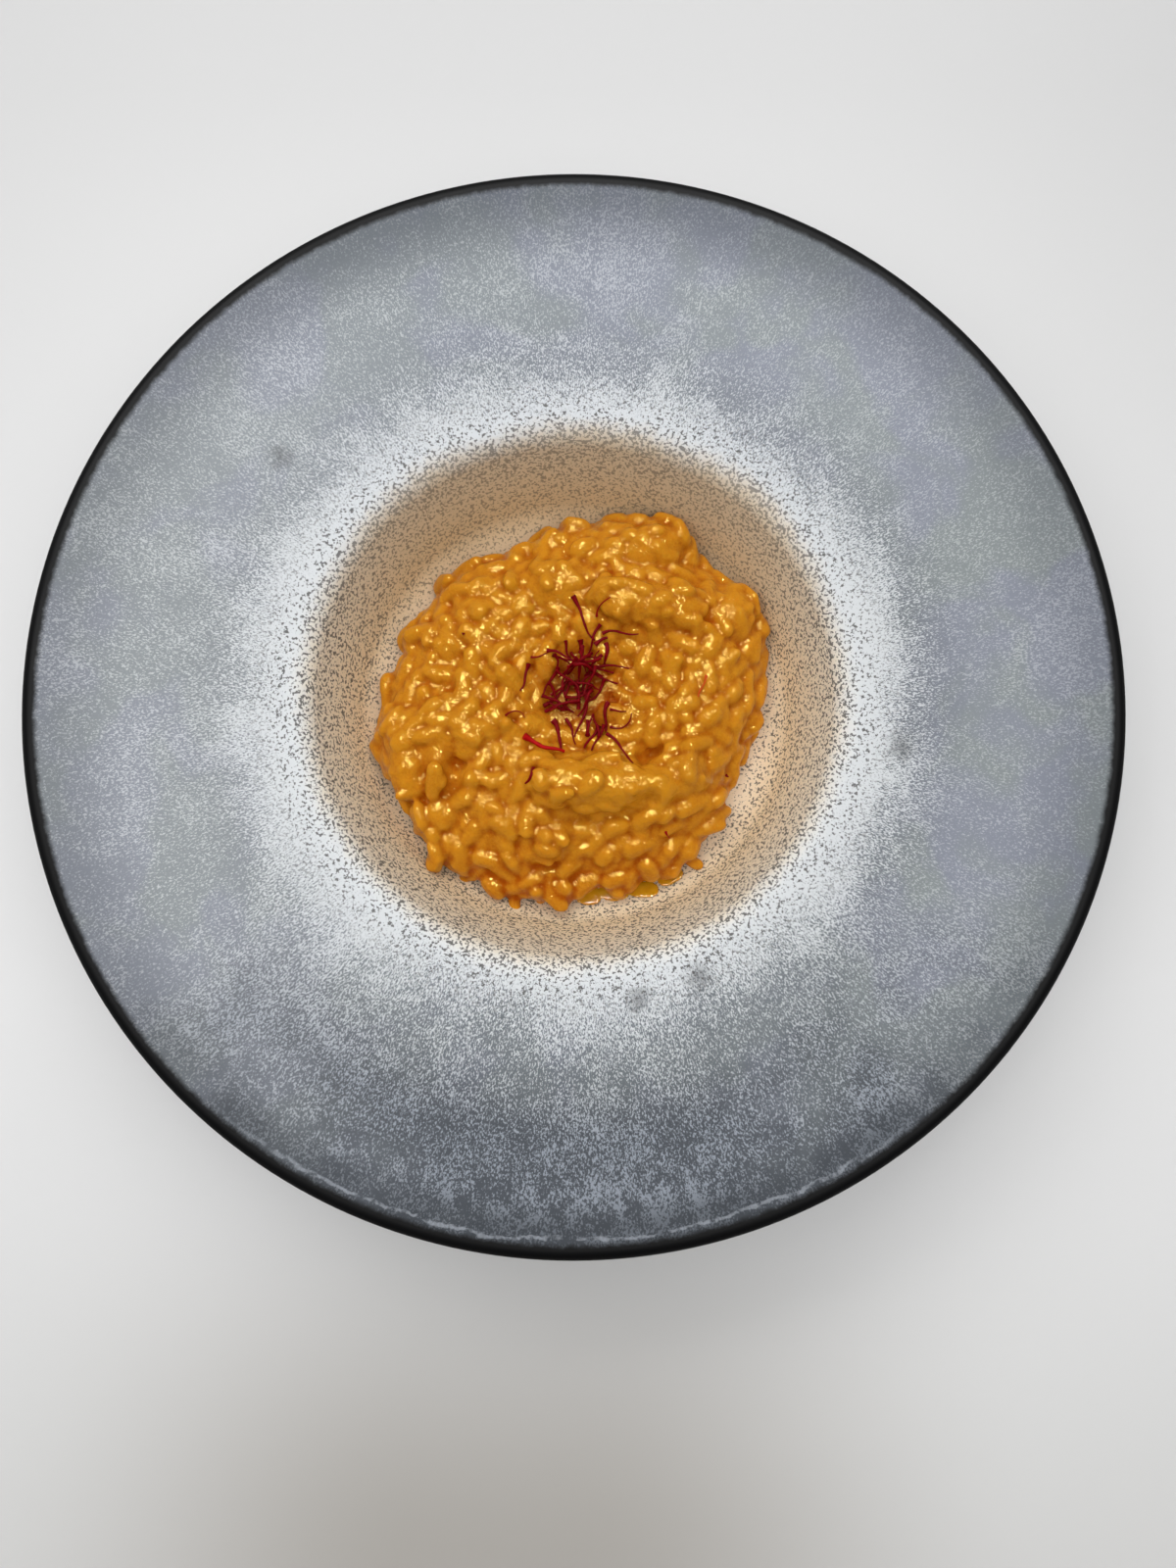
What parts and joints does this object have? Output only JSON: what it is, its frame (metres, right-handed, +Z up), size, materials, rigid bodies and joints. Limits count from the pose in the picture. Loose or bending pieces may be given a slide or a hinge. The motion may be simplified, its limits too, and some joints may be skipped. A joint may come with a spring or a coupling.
{
  "type": "saffron risotto on a wide-rimmed deep plate",
  "caption": "Mound of creamy yellow saffron risotto with loose saffron threads, lying in the well of a wide-rimmed deep stoneware plate with a mottled grey glaze.",
  "frame": {"origin": "middle of the foot ring's underside, on the table the plate stands on", "axes": "+Z up; +X to the eater's right; +Y away from the eater, across the plate"},
  "size_m": [0.28, 0.28, 0.048],
  "materials": {
    "stoneware_glaze": "satin",
    "risotto_rice": "gloss"
  },
  "bodies": {
    "root": {"plate": "stoneware_glaze", "risotto": "risotto_rice"}
  },
  "joints": []
}
